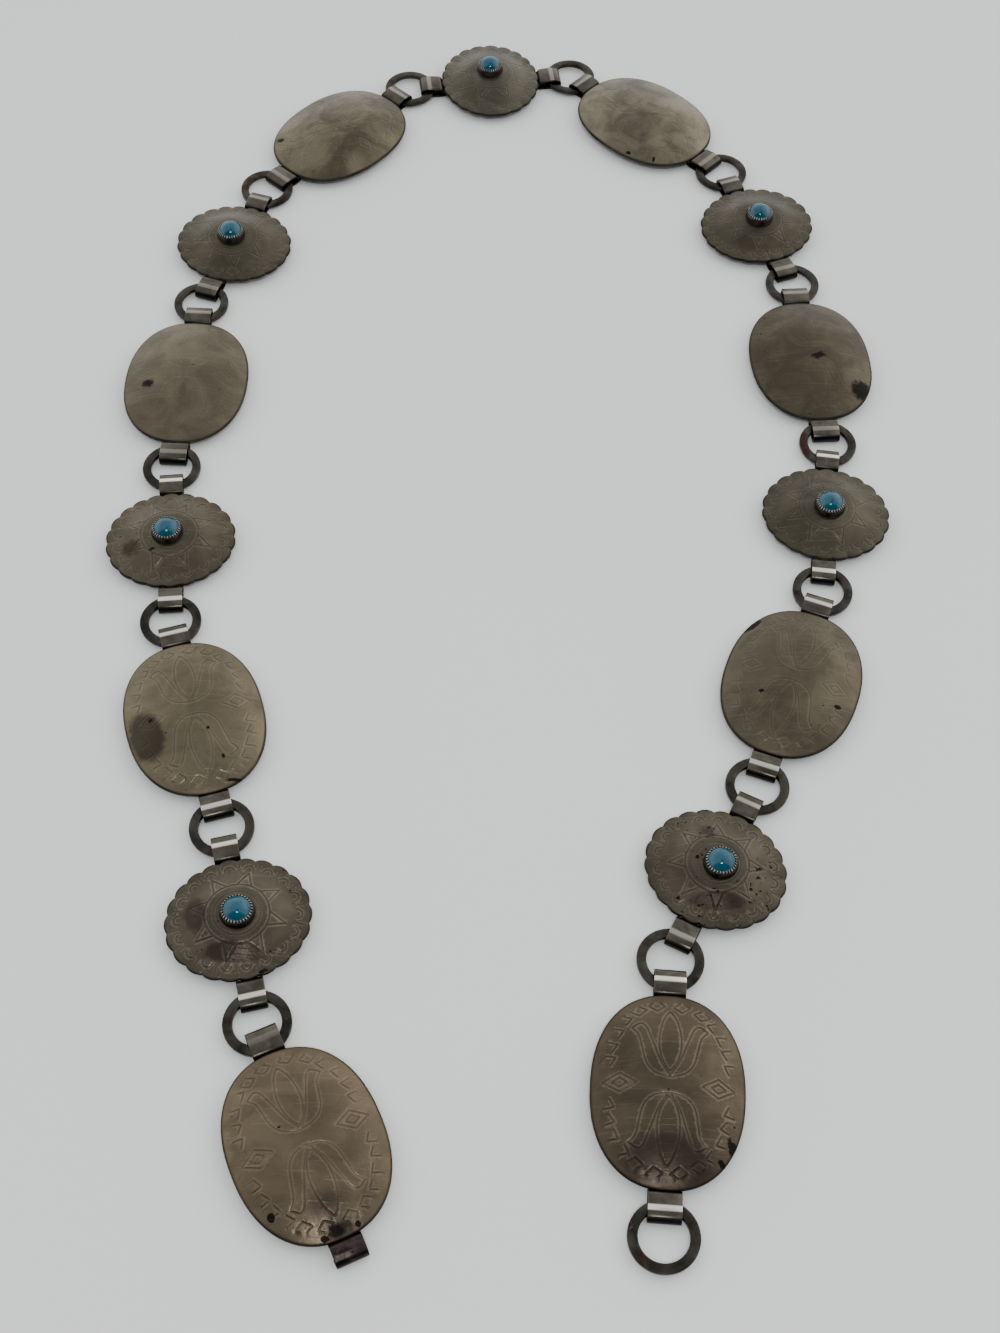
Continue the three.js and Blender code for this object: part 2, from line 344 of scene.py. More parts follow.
def circle_line(centre, radius, start=0.0, stop=360.0, step=0.35):
    count = max(8, int(math.radians(stop - start) * radius / step))
    a = np.radians(np.linspace(start, stop, count))
    return np.column_stack([centre[0] + radius * np.cos(a), centre[1] + radius * np.sin(a)])


def inset_path(kind, inset):
    """Evenly spaced places round the disc at a distance in from the rim, with the run along them."""
    a = np.linspace(0.0, 2.0 * math.pi, 1441)
    r = outline_radius(kind, a) - inset
    p = np.column_stack([r * np.cos(a), r * np.sin(a)])
    run = np.concatenate([[0.0], np.cumsum(np.linalg.norm(np.diff(p, axis=0), axis=1))])
    return p, run


def at_run(path, distance):
    """The place at a distance along the path, and the way out from it."""
    p, run = path
    distance = distance % run[-1]
    here = np.array([np.interp(distance, run, p[:, 0]), np.interp(distance, run, p[:, 1])])
    ahead = (distance + 0.3) % run[-1]
    there = np.array([np.interp(ahead, run, p[:, 0]), np.interp(ahead, run, p[:, 1])])
    way = (there - here) / np.linalg.norm(there - here)
    return here, np.array([way[1], -way[0]])


# Edges of a tulip's petals on its right side, from the foot up. The lower tulip has a rounder bowl.
PETAL_MIDDLE = ((0.0, 2.9), (1.3, 4.6), (2.3, 7.5), (2.5, 10.7), (1.9, 14.4), (0.9, 16.8), (0.0, 18.0))
PETAL_INNER = ((0.5, 2.6), (1.6, 4.3), (2.7, 6.5), (3.5, 8.8), (4.4, 11.2), (5.4, 13.6), (6.7, 14.5),
               (8.6, 13.3))
PETAL_OUTER = ((0.4, 1.7), (2.1, 2.0), (3.9, 2.9), (5.4, 5.0), (6.3, 8.4), (7.1, 11.5), (8.6, 13.3))
BOWL_OUTER = ((0.0, 2.0), (2.4, 2.4), (4.6, 3.7), (5.9, 5.9), (6.5, 8.8), (7.1, 11.5), (8.6, 13.3))


def tulip_marks(up, outer):
    """One stamped tulip: a pointed middle petal between two petals whose tips turn out."""
    marks = []
    for side in (1.0, -1.0):
        flip = np.array([side, up])
        marks += [(smooth_line(np.array(edge) * flip), 1.0) for edge in (PETAL_MIDDLE, PETAL_INNER, outer)]
    return marks


def diamond_marks(centre, along, across, long_half, short_half, in_weight, out_weight):
    """A struck diamond. Its two edges towards the middle of the disc can be deeper than the other two."""
    c = np.asarray(centre, dtype=float)
    if (c * along).sum() < 0:
        along = -along
    tip, back = c + along * long_half, c - along * long_half
    top, low = c + across * short_half, c - across * short_half
    return [(corner_line([top, back, low]), in_weight), (corner_line([top, tip, low]), out_weight)]


# Places of the border stamps in one quarter of a plain concho, from the end to the side
STAMP_PLACES = ((2.9, 19.4), (7.2, 17.8), (10.2, 15.0), (12.2, 11.6), (13.3, 8.3), (13.9, 5.0))
STAMP_HALF_SIZE = (1.9, 1.35)

# The diamonds at the sides, one in the other, and the parts of the sun pattern
SIDE_DIAMOND_PLACE = 11.0
SIDE_DIAMONDS = ((3.7, 2.2), (1.6, 1.05))
SUN_CIRCLES = ((7.6, 0.9), (5.5, 0.6))
SUN_RAYS = 8
RAY_TIP = 11.6
RAY_FOOT = 7.7
RAY_SPREAD = 13.0
BORDER_INSET = 3.5
BORDER_ARCS = 18
ARC_RADIUS = 1.1


def plain_pattern():
    marks = tulip_marks(1.0, PETAL_OUTER) + tulip_marks(-1.0, BOWL_OUTER)
    east, north = np.array([1.0, 0.0]), np.array([0.0, 1.0])
    for side in (1.0, -1.0):
        for long_half, short_half in SIDE_DIAMONDS:
            centre = (SIDE_DIAMOND_PLACE * side, 0.0)
            marks += diamond_marks(centre, east, north, long_half, short_half, 0.9, 0.9)
    hand = np.random.default_rng(3)
    for up in (1.0, -1.0):
        for side in (1.0, -1.0):
            for k, place in enumerate(STAMP_PLACES):
                here = np.array(place) * np.array([side, up]) + hand.uniform(-0.25, 0.25, 2)
                lean = -side * up * math.radians(9.0 * k) * (1.0 if k < 4 else 0.5) + hand.uniform(-0.08, 0.08)
                long_way = np.array([math.cos(lean), math.sin(lean)])
                short_way = np.array([-long_way[1], long_way[0]])
                outer_edge = 0.9 if k < 2 else hand.uniform(0.0, 0.4)
                marks += diamond_marks(here, long_way, short_way, *STAMP_HALF_SIZE, 1.0, outer_edge)
    return marks


def direction(degrees):
    return np.array([math.cos(math.radians(degrees)), math.sin(math.radians(degrees))])


def sun_pattern(kind):
    marks = [(circle_line((0.0, 0.0), radius), weight) for radius, weight in SUN_CIRCLES]
    for k in range(SUN_RAYS):
        angle = 360.0 / SUN_RAYS * (k + 0.5)
        for side in (-RAY_SPREAD, RAY_SPREAD):
            ray = [RAY_FOOT * direction(angle + side), RAY_TIP * direction(angle)]
            marks.append((corner_line(ray), 1.0))
    border = inset_path(kind, BORDER_INSET)
    whole = border[1][-1]
    for k in range(BORDER_ARCS):
        here, out = at_run(border, whole * (k + 0.5) / BORDER_ARCS)
        turn = math.degrees(math.atan2(out[1], out[0]))
        marks.append((circle_line(here, ARC_RADIUS, turn - 95.0, turn + 95.0), 1.0))
        between, out = at_run(border, whole * k / BORDER_ARCS)
        marks.append((corner_line([between + out * 1.5, between + out * 0.2]), 0.7))
    return marks


def sun_dots(kind):
    """One dot inside each arc of the border."""
    border = inset_path(kind, BORDER_INSET)
    whole = border[1][-1]
    return np.array([at_run(border, whole * (k + 0.5) / BORDER_ARCS)[0] for k in range(BORDER_ARCS)])


# Width of a tool mark, and the rows of points laid along it
GROOVE = 0.14
ROWS = (0.0, 0.1, -0.1, 0.21, -0.21, 0.36, -0.36)


def mark_relief(xy, marks):
    """Depth of the tool marks at each place: 1 at the bottom of a mark, slightly below 0 on its lips."""
    starts = np.vstack([line[:-1] for line, weight in marks])
    ends = np.vstack([line[1:] for line, weight in marks])
    weights = np.concatenate([np.full(len(line) - 1, weight) for line, weight in marks])
    way = ends - starts
    length2 = np.maximum((way ** 2).sum(1), 1e-9)
    relief = np.zeros(len(xy))
    for first in range(0, len(xy), 500):
        p = xy[first:first + 500, None, :]
        t = np.clip(((p - starts) * way).sum(2) / length2, 0.0, 1.0)
        gap = p - (starts + t[:, :, None] * way)
        gap = np.sqrt((gap ** 2).sum(2))
        nearest = gap.argmin(1)
        distance = gap[np.arange(len(gap)), nearest]
        shape = np.exp(-(distance / GROOVE) ** 2) - 0.3 * np.exp(-((distance - 0.31) / 0.11) ** 2)
        relief[first:first + 500] = shape * weights[nearest]
    return relief


def sheet_points(kind, marks):
    """Places on the flat sheet: rows in from the rim, rows along every tool mark and a plain field."""
    count = kind["rim_points"]
    a = np.linspace(0.0, 2.0 * math.pi, count, endpoint=False)
    r = outline_radius(kind, a)
    rim = np.column_stack([r * np.cos(a), r * np.sin(a)])
    rows = [rim * (1.0 - inset / r)[:, None] for inset in (0.1, 0.22, 0.4, 0.8, 1.4)]
    beside = []
    for line, weight in marks:
        way = np.gradient(line, axis=0)
        way /= np.maximum(np.linalg.norm(way, axis=1), 1e-9)[:, None]
        side = np.column_stack([-way[:, 1], way[:, 0]])
        beside.extend(line + side * offset for offset in ROWS)
    step = 0.75
    gx, gy = np.meshgrid(np.arange(-18.0, 18.01, step), np.arange(-23.4, 23.41, step * 0.87))
    gx[::2] += step / 2
    field = np.column_stack([gx.ravel(), gy.ravel()])
    seed = np.random.default_rng(7)
    field = field + seed.uniform(-0.12, 0.12, field.shape)
    inner = np.vstack(beside + [field])
    inner = inner[rim_share(kind, inner) < 1.0 - 1.9 / (kind["width"] / 2)]
    keep = np.unique(np.round(inner / 0.085).astype(int), axis=0, return_index=True)[1]
    return rim, np.vstack(rows), inner[np.sort(keep)]


def flat_sheet(kind, marks, dots=None):
    rim, rows, inner = sheet_points(kind, marks)
    xy = np.vstack([rim, rows, inner])
    out = delaunay_2d_cdt([Vector(p) for p in xy], [], [], 0, 1e-5)
    points = np.array([(v.x, v.y) for v in out[0]])
    faces = [tuple(f) for f in out[2]]
    where = {}
    for index, originals in enumerate(out[3]):
        for original in originals:
            where[original] = index
    loop = [where[k] for k in range(len(rim))]
    relief = mark_relief(points, marks)
    if dots is not None:
        gap = np.sqrt(((points[:, None, :] - dots) ** 2).sum(2).min(1))
        relief = relief + 0.9 * np.exp(-(gap / 0.42) ** 2)
    return {"xy": points, "faces": faces, "loop": loop, "relief": relief}


def domed_sheet(kind, flat, depth, mirror, scallops):
    """The stamped sheet with its thickness. The marks show the other way round on its back."""
    xy = flat["xy"].copy()
    share = rim_share(kind, xy)
    angle = np.arctan2(xy[:, 1], xy[:, 0])
    from_rim = (1.0 - share) * outline_radius(kind, angle)
    height = kind["rise"](share)
    relief = flat["relief"]
    flute = np.zeros(len(xy))
    if scallops:
        lobe = np.abs(np.cos(SCALLOPS * (angle - math.pi / 2) / 2))
        fade = np.clip(1.0 - from_rim / 2.2, 0.0, 1.0) ** 2
        cut = SCALLOP_DEPTH * (1.0 - lobe ** 0.8) * fade
        radius = np.hypot(xy[:, 0], xy[:, 1])
        xy = xy * (1.0 - cut / np.maximum(radius, 1e-6))[:, None]
        flute = -0.22 * (1.0 - lobe) ** 2 * np.clip(1.0 - from_rim / 3.0, 0.0, 1.0)
    rounding = np.clip(RIM_ROUND - from_rim, 0.0, RIM_ROUND)
    drop = RIM_ROUND - np.sqrt(np.maximum(RIM_ROUND ** 2 - rounding ** 2, 0.0))
    top = RIM_HEIGHT + SHEET + height - drop - depth * relief + flute
    under = RIM_HEIGHT + height + drop - 0.6 * depth * relief + flute
    if mirror:
        xy = xy * np.array([-1.0, 1.0])
    points = np.vstack([np.column_stack([xy, top]), np.column_stack([xy, under])])
    n = len(xy)
    faces = []
    for a, b, c in flat["faces"]:
        faces.append((a, c, b) if mirror else (a, b, c))
    under_faces = [(c + n, b + n, a + n) for a, b, c in faces]
    loop = flat["loop"]
    side = []
    for i, a in enumerate(loop):
        b = loop[(i + 1) % len(loop)]
        side.append((b, a, a + n, b + n) if mirror else (a, a + n, b + n, b))
    rim_glow = np.exp(-np.clip(from_rim, 0.0, None) / 0.7)
    return (points, faces + under_faces + side,
            np.concatenate([relief, -0.6 * relief]) * min(1.0, depth / 0.08),
            np.concatenate([rim_glow, rim_glow]))


# Folded straps

def strap_path(kind, hook):
    """Middle of the strap seen from the side: out over the ring, down through it and back."""
    half = kind["length"] / 2
    t = STRAP_THICKNESS / 2

    def under(inward):
        return RIM_HEIGHT + float(kind["rise"]((half - inward) / half))

    end = (HOOK_REACH if hook else kind["reach"]) - LOOP_HEIGHT / 2
    turn = LOOP_HEIGHT / 2 - t
    crest = LOOP_CREST - t
    path = [(-d, under(d) - t + 0.05) for d in (8.0, 6.0, 4.0, 2.4, 1.2)]
    path += [(-0.4, RIM_HEIGHT - 0.34), (0.08, RIM_HEIGHT + 0.05)]
    path += [(0.42, RIM_HEIGHT + 0.52), (0.95, RIM_HEIGHT + 0.79)]
    path += [(0.95 + (end - 0.95) * 0.3, crest - 0.16), (0.95 + (end - 0.95) * 0.62, crest)]
    for a in np.radians(np.arange(78.0, -91.0, -16.8)):
        path.append((end + turn * math.cos(a), LOOP_HEIGHT / 2 + turn * math.sin(a)))
    if hook:
        path += [(end - 0.8, t), (HOOK_MOUTH + 0.1, t)]
    else:
        path += [(end - 1.0, t), (1.2, t), (0.0, t + 0.02), (-1.0, t + 0.35), (-2.6, under(2.6) - 2.6 * t - 0.25)]
        path += [(-d, under(d) - 3 * t + 0.08) for d in (4.2, 6.0, 8.0)]
    return smooth_line(path, 0.28)


def ribbon(path, width, thickness):
    """A strip of even thickness along a side-view path, with softened edges.

    Its wear is 1 along the crest, where the rubbed polish carries a painted highlight, and -1 in the fold at the rim
    and past the turn, where shade and a dark reflection are painted.
    """
    way = np.gradient(path, axis=0)
    way /= np.linalg.norm(way, axis=1)[:, None]
    side = np.column_stack([-way[:, 1], way[:, 0]])
    w, t, r = width / 2, thickness / 2, 0.16
    section = []
    corners = ((w - r, t - r, 0.0), (-w + r, t - r, 90.0), (-w + r, -t + r, 180.0), (w - r, -t + r, 270.0))
    for cx, cz, first in corners:
        for a in np.radians(np.linspace(first, first + 90.0, 4)):
            section.append((cx + r * math.cos(a), cz + r * math.sin(a)))
    section = np.array(section)
    n = len(section)
    crest = int(np.where(path[:, 0] > 0.9, path[:, 1], 0.0).argmax())
    run = np.concatenate([[0.0], np.cumsum(np.linalg.norm(np.diff(path, axis=0), axis=1))])
    points, faces, wear = [], [], []
    for k, (place, out) in enumerate(zip(path, side)):
        # Painted shade in the fold at the rim, a painted dark reflection where the strap turns down past the crest, and
        # a painted highlight along the rubbed crest.
        turn_shade = np.clip((0.9 - out[1]) / 0.4, 0.0, 0.9) if k > crest else 0.0
        at_rim = math.exp(-((place[0] - 0.15) / 0.45) ** 2)
        rubbed = math.exp(-((run[k] - run[crest] - 0.45) / 0.62) ** 2)
        for across, up in section:
            points.append((across, place[0] + out[0] * up, place[1] + out[1] * up))
            wear.append(rubbed - max(turn_shade, at_rim))
    for k in range(len(path) - 1):
        for i in range(n):
            j = (i + 1) % n
            faces.append((k * n + i, k * n + j, (k + 1) * n + j, (k + 1) * n + i))
    faces.append(tuple(reversed(range(n))))
    faces.append(tuple((len(path) - 1) * n + i for i in range(n)))
    return np.array(points), [tuple(reversed(f)) for f in faces], np.array(wear)


def strap(kind, end, hook):
    points, faces, wear = ribbon(strap_path(kind, hook), kind["strap"], STRAP_THICKNESS)
    points[:, 1] += kind["length"] / 2
    if end < 0:
        points[:, :2] *= -1.0
    return points, faces, wear


# Bezels, rings and stones

def stone_profile():
    profile = [(0.0, 0.0), (STONE_RADIUS - 0.2, 0.0), (STONE_RADIUS - 0.05, 0.06), (STONE_RADIUS, 0.2)]
    profile.append((STONE_RADIUS, STONE_GIRDLE * 0.6))
    for a in np.radians(np.linspace(0.0, 90.0, 15)):
        radius = STONE_RADIUS * math.cos(a)
        height = STONE_GIRDLE + (STONE_HEIGHT - STONE_GIRDLE) * math.sin(a)
        profile.append((max(radius, 0.0) if a < 1.57 else 0.0, height))
    return profile


def bezel_cup():
    inner = STONE_RADIUS + 0.08
    profile = [(inner, -0.35), (4.25, -0.35), (4.25, 0.05), (4.16, 0.16), (4.12, 0.7), (4.02, 1.15),
               (3.86, 1.5), (3.7, 1.68), (3.58, 1.66), (3.6, 1.5), (inner, 1.1), (inner, -0.35)]
    points, faces = lathe(profile, 60)
    points[:, 2] += DOME_TOP
    return points, faces


def growing_tree(name, sizes):
    """A Geometry Nodes tree whose inputs are the named sizes and a metal."""
    tree = new_tree(name, "GeometryNodeTree", sizes)
    tree.interface.new_socket("Metal", in_out="INPUT", socket_type="NodeSocketMaterial")
    tree.interface.new_socket("Geometry", in_out="OUTPUT", socket_type="NodeSocketGeometry")
    b = Bench(tree)
    return b, b.add("NodeGroupInput").outputs


def painted(b, metal, shape):
    """Ends a tree: instances become real and the shape takes its metal."""
    real = b.add("GeometryNodeRealizeInstances")
    b.feed(real.inputs[0], shape)
    paint = b.add("GeometryNodeSetMaterial")
    b.feed(paint.inputs["Geometry"], real.outputs[0])
    b.feed(paint.inputs["Material"], metal)
    b.feed(b.add("NodeGroupOutput").inputs["Geometry"], paint.outputs[0])
    return b.tree


def teeth_tree():
    """Small flattened cones in a ring, leaning in over the stone."""
    b, given = growing_tree("bezel_teeth", TEETH)
    ring = b.add("GeometryNodeMeshCircle")
    b.feed(ring.inputs["Vertices"], given["Teeth"])
    b.feed(ring.inputs["Radius"], given["Radius"])
    cone = b.add("GeometryNodeMeshCone", fill_type="NGON")
    cone.inputs["Vertices"].default_value = 8
    cone.inputs["Side Segments"].default_value = 2
    b.feed(cone.inputs["Radius Top"], b.maths("MULTIPLY", given["Tooth width"], 0.45))
    b.feed(cone.inputs["Radius Bottom"], given["Tooth width"])
    b.feed(cone.inputs["Depth"], given["Tooth height"])
    flatten = b.add("GeometryNodeTransform")
    flatten.inputs["Scale"].default_value = (0.55, 1.0, 1.0)
    b.feed(flatten.inputs["Geometry"], cone.outputs["Mesh"])
    parts = b.add("ShaderNodeSeparateXYZ")
    b.feed(parts.inputs[0], b.add("GeometryNodeInputPosition").outputs[0])
    angles = b.add("ShaderNodeCombineXYZ")
    b.feed(angles.inputs["Y"], b.maths("MULTIPLY", given["Lean"], -1.0))
    b.feed(angles.inputs["Z"], b.maths("ARCTAN2", parts.outputs["Y"], parts.outputs["X"]))
    place = b.add("GeometryNodeInstanceOnPoints")
    b.feed(place.inputs["Points"], ring.outputs["Mesh"])
    b.feed(place.inputs["Instance"], flatten.outputs[0])
    b.feed(place.inputs["Rotation"], angles.outputs[0])
    return painted(b, given["Metal"], place.outputs[0])


def ring_tree():
    """A flat ring: a rounded rectangle carried round a circle."""
    b, given = growing_tree("flat_ring", FLAT_RING)
    both = b.maths("ADD", given["Outer diameter"], given["Hole diameter"])
    gap = b.maths("SUBTRACT", given["Outer diameter"], given["Hole diameter"])
    circle = b.add("GeometryNodeCurvePrimitiveCircle")
    circle.inputs["Resolution"].default_value = 64
    b.feed(circle.inputs["Radius"], b.maths("MULTIPLY", both, 0.25))
    section = b.add("GeometryNodeCurvePrimitiveQuadrilateral")
    b.feed(section.inputs["Width"], b.maths("MULTIPLY", gap, 0.5))
    b.feed(section.inputs["Height"], given["Thickness"])
    fillet = b.add("GeometryNodeFilletCurve", mode="POLY")
    fillet.inputs["Count"].default_value = 3
    b.feed(fillet.inputs["Curve"], section.outputs[0])
    b.feed(fillet.inputs["Radius"], given["Edge rounding"])
    sweep = b.add("GeometryNodeCurveToMesh")
    b.feed(sweep.inputs["Curve"], circle.outputs[0])
    b.feed(sweep.inputs["Profile Curve"], fillet.outputs[0])
    return painted(b, given["Metal"], sweep.outputs[0])


def grow(tree, name, values):
    """Runs a tree with the given input values and returns its points and faces in millimetres."""
    carrier = bpy.data.objects.new(name, bpy.data.meshes.new(name))
    bpy.context.scene.collection.objects.link(carrier)
    modifier = carrier.modifiers.new("grow", "NODES")
    modifier.node_group = tree
    sockets = {s.name: s.identifier for s in tree.interface.items_tree if s.in_out == "INPUT"}
    for key, value in values.items():
        modifier[sockets[key]] = value
    graph = bpy.context.evaluated_depsgraph_get()
    mesh = bpy.data.meshes.new_from_object(carrier.evaluated_get(graph))
    points = np.array([tuple(v.co) for v in mesh.vertices]) / MM
    faces = [tuple(p.vertices) for p in mesh.polygons]
    bpy.data.objects.remove(carrier)
    bpy.data.meshes.remove(mesh)
    return points, faces


# Materials

def tarnish_group():
    """Cloudy tarnish, small dark specks, fine grain and polishing scratches."""
    group = new_tree("tarnish", "ShaderNodeTree", {"Cloud size": 0.012, "Speck size": 0.0012, "Speck amount": 0.5},
                     ("Clouds", "Specks", "Grain", "Scratches"))
    b = Bench(group)
    given, result = b.add("NodeGroupInput"), b.add("NodeGroupOutput")
    place = b.add("ShaderNodeTexCoord").outputs["Object"]
    cloud_scale = b.maths("DIVIDE", 1.0, given.outputs["Cloud size"])
    clouds = b.noise(place, cloud_scale, 5.0, 0.62, 0.6)
    speck_scale = b.maths("DIVIDE", 1.0, given.outputs["Speck size"])
    specks = b.noise(place, speck_scale, 2.0, 0.5)
    patches = b.noise(place, b.maths("MULTIPLY", cloud_scale, 0.8), 2.0)
    share = b.maths("MULTIPLY", b.maths("MULTIPLY", given.outputs["Speck amount"], patches), 0.22)
    limit = b.maths("SUBTRACT", 0.79, share)
    speck_mask = b.between(specks, limit, b.maths("ADD", limit, 0.06))
    grain = b.noise(place, 2600.0, 3.0, 0.6)
    streaks = []
    for turn, scale in ((0.5, (90.0, 2600.0, 90.0)), (2.1, (70.0, 2200.0, 70.0))):
        mapping = b.add("ShaderNodeMapping")
        b.feed(mapping.inputs["Vector"], place)
        mapping.inputs["Rotation"].default_value = (0.0, 0.0, turn)
        mapping.inputs["Scale"].default_value = scale
        streaks.append(b.noise(mapping.outputs[0], 1.0, 2.0, 0.5, 0.3))
    scratches = b.between(b.maths("MAXIMUM", streaks[0], streaks[1]), 0.62, 0.74)
    for socket, value in zip(result.inputs, (b.between(clouds, 0.3, 0.7), speck_mask, grain, scratches)):
        b.feed(socket, value)
    return group


def wear_group():
    """Dark where tarnish stays in the marks, darker along the rim, and bright where the lips are rubbed."""
    group = new_tree("wear", "ShaderNodeTree", {"Relief": 0.0, "Rim": 0.0, "Breakup": 0.5}, ("Trapped", "Rubbed"))
    b = Bench(group)
    given, result = b.add("NodeGroupInput"), b.add("NodeGroupOutput")
    in_marks = b.between(given.outputs["Relief"], 0.3, 0.8)
    at_rim = b.between(given.outputs["Rim"], 0.35, 0.7)
    loose = b.maths("ADD", b.maths("MULTIPLY", given.outputs["Breakup"], 0.6), 0.6)
    trapped = b.maths("MULTIPLY", b.maths("MAXIMUM", b.maths("MULTIPLY", in_marks, 0.42), at_rim), loose)
    lips = b.between(given.outputs["Relief"], -0.22, -0.04, 1.0, 0.0)
    b.feed(result.inputs["Trapped"], trapped)
    b.feed(result.inputs["Rubbed"], lips)
    return group


def oval_patch_group():
    """An oval patch with a ragged edge, used for the stains and for the painted dark reflections and shade."""
    inputs = {"Centre": (0.0, 0.0, 0.0), "Half size": (0.002, 0.002, 1.0), "Turn": 0.0, "Ragged": 0.5, "Softness": 0.25}
    group = new_tree("stain", "ShaderNodeTree", inputs, ("Stain",))
    b = Bench(group)
    given, result = b.add("NodeGroupInput"), b.add("NodeGroupOutput")
    place = b.add("ShaderNodeTexCoord").outputs["Object"]
    away = b.add("ShaderNodeVectorMath", operation="SUBTRACT")
    b.feed(away.inputs[0], place)
    b.feed(away.inputs[1], given.outputs["Centre"])
    turned = b.add("ShaderNodeVectorRotate", rotation_type="Z_AXIS")
    b.feed(turned.inputs["Vector"], away.outputs[0])
    b.feed(turned.inputs["Angle"], given.outputs["Turn"])
    scaled = b.add("ShaderNodeVectorMath", operation="DIVIDE")
    b.feed(scaled.inputs[0], turned.outputs[0])
    b.feed(scaled.inputs[1], given.outputs["Half size"])
    far = b.add("ShaderNodeVectorMath", operation="LENGTH")
    b.feed(far.inputs[0], scaled.outputs[0])
    rough = b.noise(place, 700.0, 4.0, 0.65)
    ragged = b.maths("MULTIPLY", given.outputs["Ragged"], 2.0)
    edge = b.maths("ADD", far.outputs["Value"], b.maths("MULTIPLY", b.maths("SUBTRACT", rough, 0.5), ragged))
    inner = b.maths("SUBTRACT", 1.0, given.outputs["Softness"])
    b.feed(result.inputs["Stain"], b.between(edge, inner, 1.0, 1.0, 0.0))
    return group


def finish_surface(b, colour, roughness, metallic, height, strength, distance):
    bsdf = b.add("ShaderNodeBsdfPrincipled")
    out = b.add("ShaderNodeOutputMaterial")
    b.feed(bsdf.inputs["Base Color"], colour)
    b.feed(bsdf.inputs["Roughness"], roughness)
    b.feed(bsdf.inputs["Metallic"], metallic)
    bump = b.add("ShaderNodeBump")
    bump.inputs["Strength"].default_value = strength
    bump.inputs["Distance"].default_value = distance
    b.feed(bump.inputs["Height"], height)
    b.feed(bsdf.inputs["Normal"], bump.outputs[0])
    b.feed(out.inputs["Surface"], bsdf.outputs[0])
    return bsdf


def new_material(name):
    material = bpy.data.materials.new(name)
    material.use_nodes = True
    material.node_tree.nodes.clear()
    return material, Bench(material.node_tree)


def concho_metal(name, groups, look, stains, shades):
    """Tarnished nickel silver. Stains are black. Shades are only darker: painted dark reflections and painted shade,
    with a few darker tarnish patches.
    """
    material, b = new_material(name)
    tarnish = b.group(groups["tarnish"], Cloud_size=0.011, Speck_size=0.0011, Speck_amount=look["specks"])
    relief = b.add("ShaderNodeAttribute", attribute_name="relief").outputs["Fac"]
    rim = b.add("ShaderNodeAttribute", attribute_name="rim").outputs["Fac"]
    wear = b.group(groups["wear"], Relief=relief, Rim=rim, Breakup=tarnish["Clouds"])
    colour = b.mix(tarnish["Clouds"], look["dark"], look["light"])
    colour = b.cover(colour, tarnish["Scratches"], 0.1, (0.26, 0.22, 0.17))
    colour = b.cover(colour, wear["Rubbed"], look["rubbed"], (0.30, 0.25, 0.19))
    colour = b.cover(colour, wear["Trapped"], 0.85, (0.02, 0.015, 0.012))
    dark = tarnish["Specks"]
    for stain in stains:
        dark = b.maths("MAXIMUM", dark, b.group(groups["stain"], **stain)["Stain"])
    # Shades: painted dark reflections and painted shade, some of them darker tarnish.
    for shade in shades:
        patch = b.group(groups["stain"], **shade)["Stain"]
        colour = b.cover(colour, patch, 0.8, (0.026, 0.020, 0.0155))
    colour = b.cover(colour, dark, 0.95, (0.006, 0.005, 0.004))
    rough = b.maths("ADD", b.maths("MULTIPLY", tarnish["Clouds"], -0.1), look["rough"])
    rough = b.maths("ADD", rough, b.maths("MULTIPLY", b.maths("MAXIMUM", dark, wear["Trapped"]), 0.15))
    height = b.maths("ADD", b.maths("MULTIPLY", tarnish["Grain"], 0.5), b.maths("MULTIPLY", tarnish["Scratches"], -0.4))
    height = b.maths("SUBTRACT", height, b.maths("MULTIPLY", tarnish["Specks"], 0.8))
    height = b.maths("ADD", height, b.maths("MULTIPLY", tarnish["Clouds"], 0.9))
    finish_surface(b, colour, rough, 0.95, height, 0.45, 0.00008)
    return material


def hook_metal(groups):
    """The burnt metal of the open hook: brown black with greyer patches."""
    material, b = new_material("hook_metal")
    tarnish = b.group(groups["tarnish"], Cloud_size=0.003, Speck_size=0.0011, Speck_amount=0.9)
    colour = b.mix(tarnish["Clouds"], (0.012, 0.009, 0.009), (0.048, 0.036, 0.033))
    colour = b.cover(colour, tarnish["Specks"], 0.9, (0.004, 0.004, 0.004))
    rough = b.maths("ADD", b.maths("MULTIPLY", tarnish["Specks"], 0.2), 0.28)
    height = b.maths("SUBTRACT", b.maths("MULTIPLY", tarnish["Grain"], 0.5), tarnish["Specks"])
    finish_surface(b, colour, rough, 0.95, height, 0.35, 0.00006)
    return material


def strap_metal(groups):
    material, b = new_material("strap_metal")
    tarnish = b.group(groups["tarnish"], Cloud_size=0.005, Speck_size=0.0009, Speck_amount=0.55)
    wear = b.add("ShaderNodeAttribute", attribute_name="strap_highlight_and_shade").outputs["Fac"]
    # A painted highlight along the rubbed crest; painted shade in the fold at the rim and a painted dark reflection on
    # the turned-down face.
    rubbed = b.between(wear, 0.2, 0.75)
    painted_shade = b.between(wear, -0.8, -0.05, 1.0, 0.0)
    colour = b.mix(tarnish["Clouds"], (0.045, 0.040, 0.031), (0.092, 0.083, 0.065))
    colour = b.cover(colour, tarnish["Specks"], 0.8, (0.03, 0.02, 0.015))
    colour = b.cover(colour, rubbed, 0.95, (0.86, 0.82, 0.71))
    colour = b.cover(colour, painted_shade, 0.9, (0.010, 0.009, 0.008))
    rough = b.maths("ADD", b.maths("MULTIPLY", rubbed, -0.02), 0.25)
    rough = b.maths("ADD", rough, b.maths("MULTIPLY", painted_shade, 0.12))
    height = b.maths("ADD", b.maths("MULTIPLY", tarnish["Grain"], 0.5), b.maths("MULTIPLY", tarnish["Scratches"], -0.5))
    finish_surface(b, colour, rough, 0.96, height, 0.12, 0.00004)
    return material


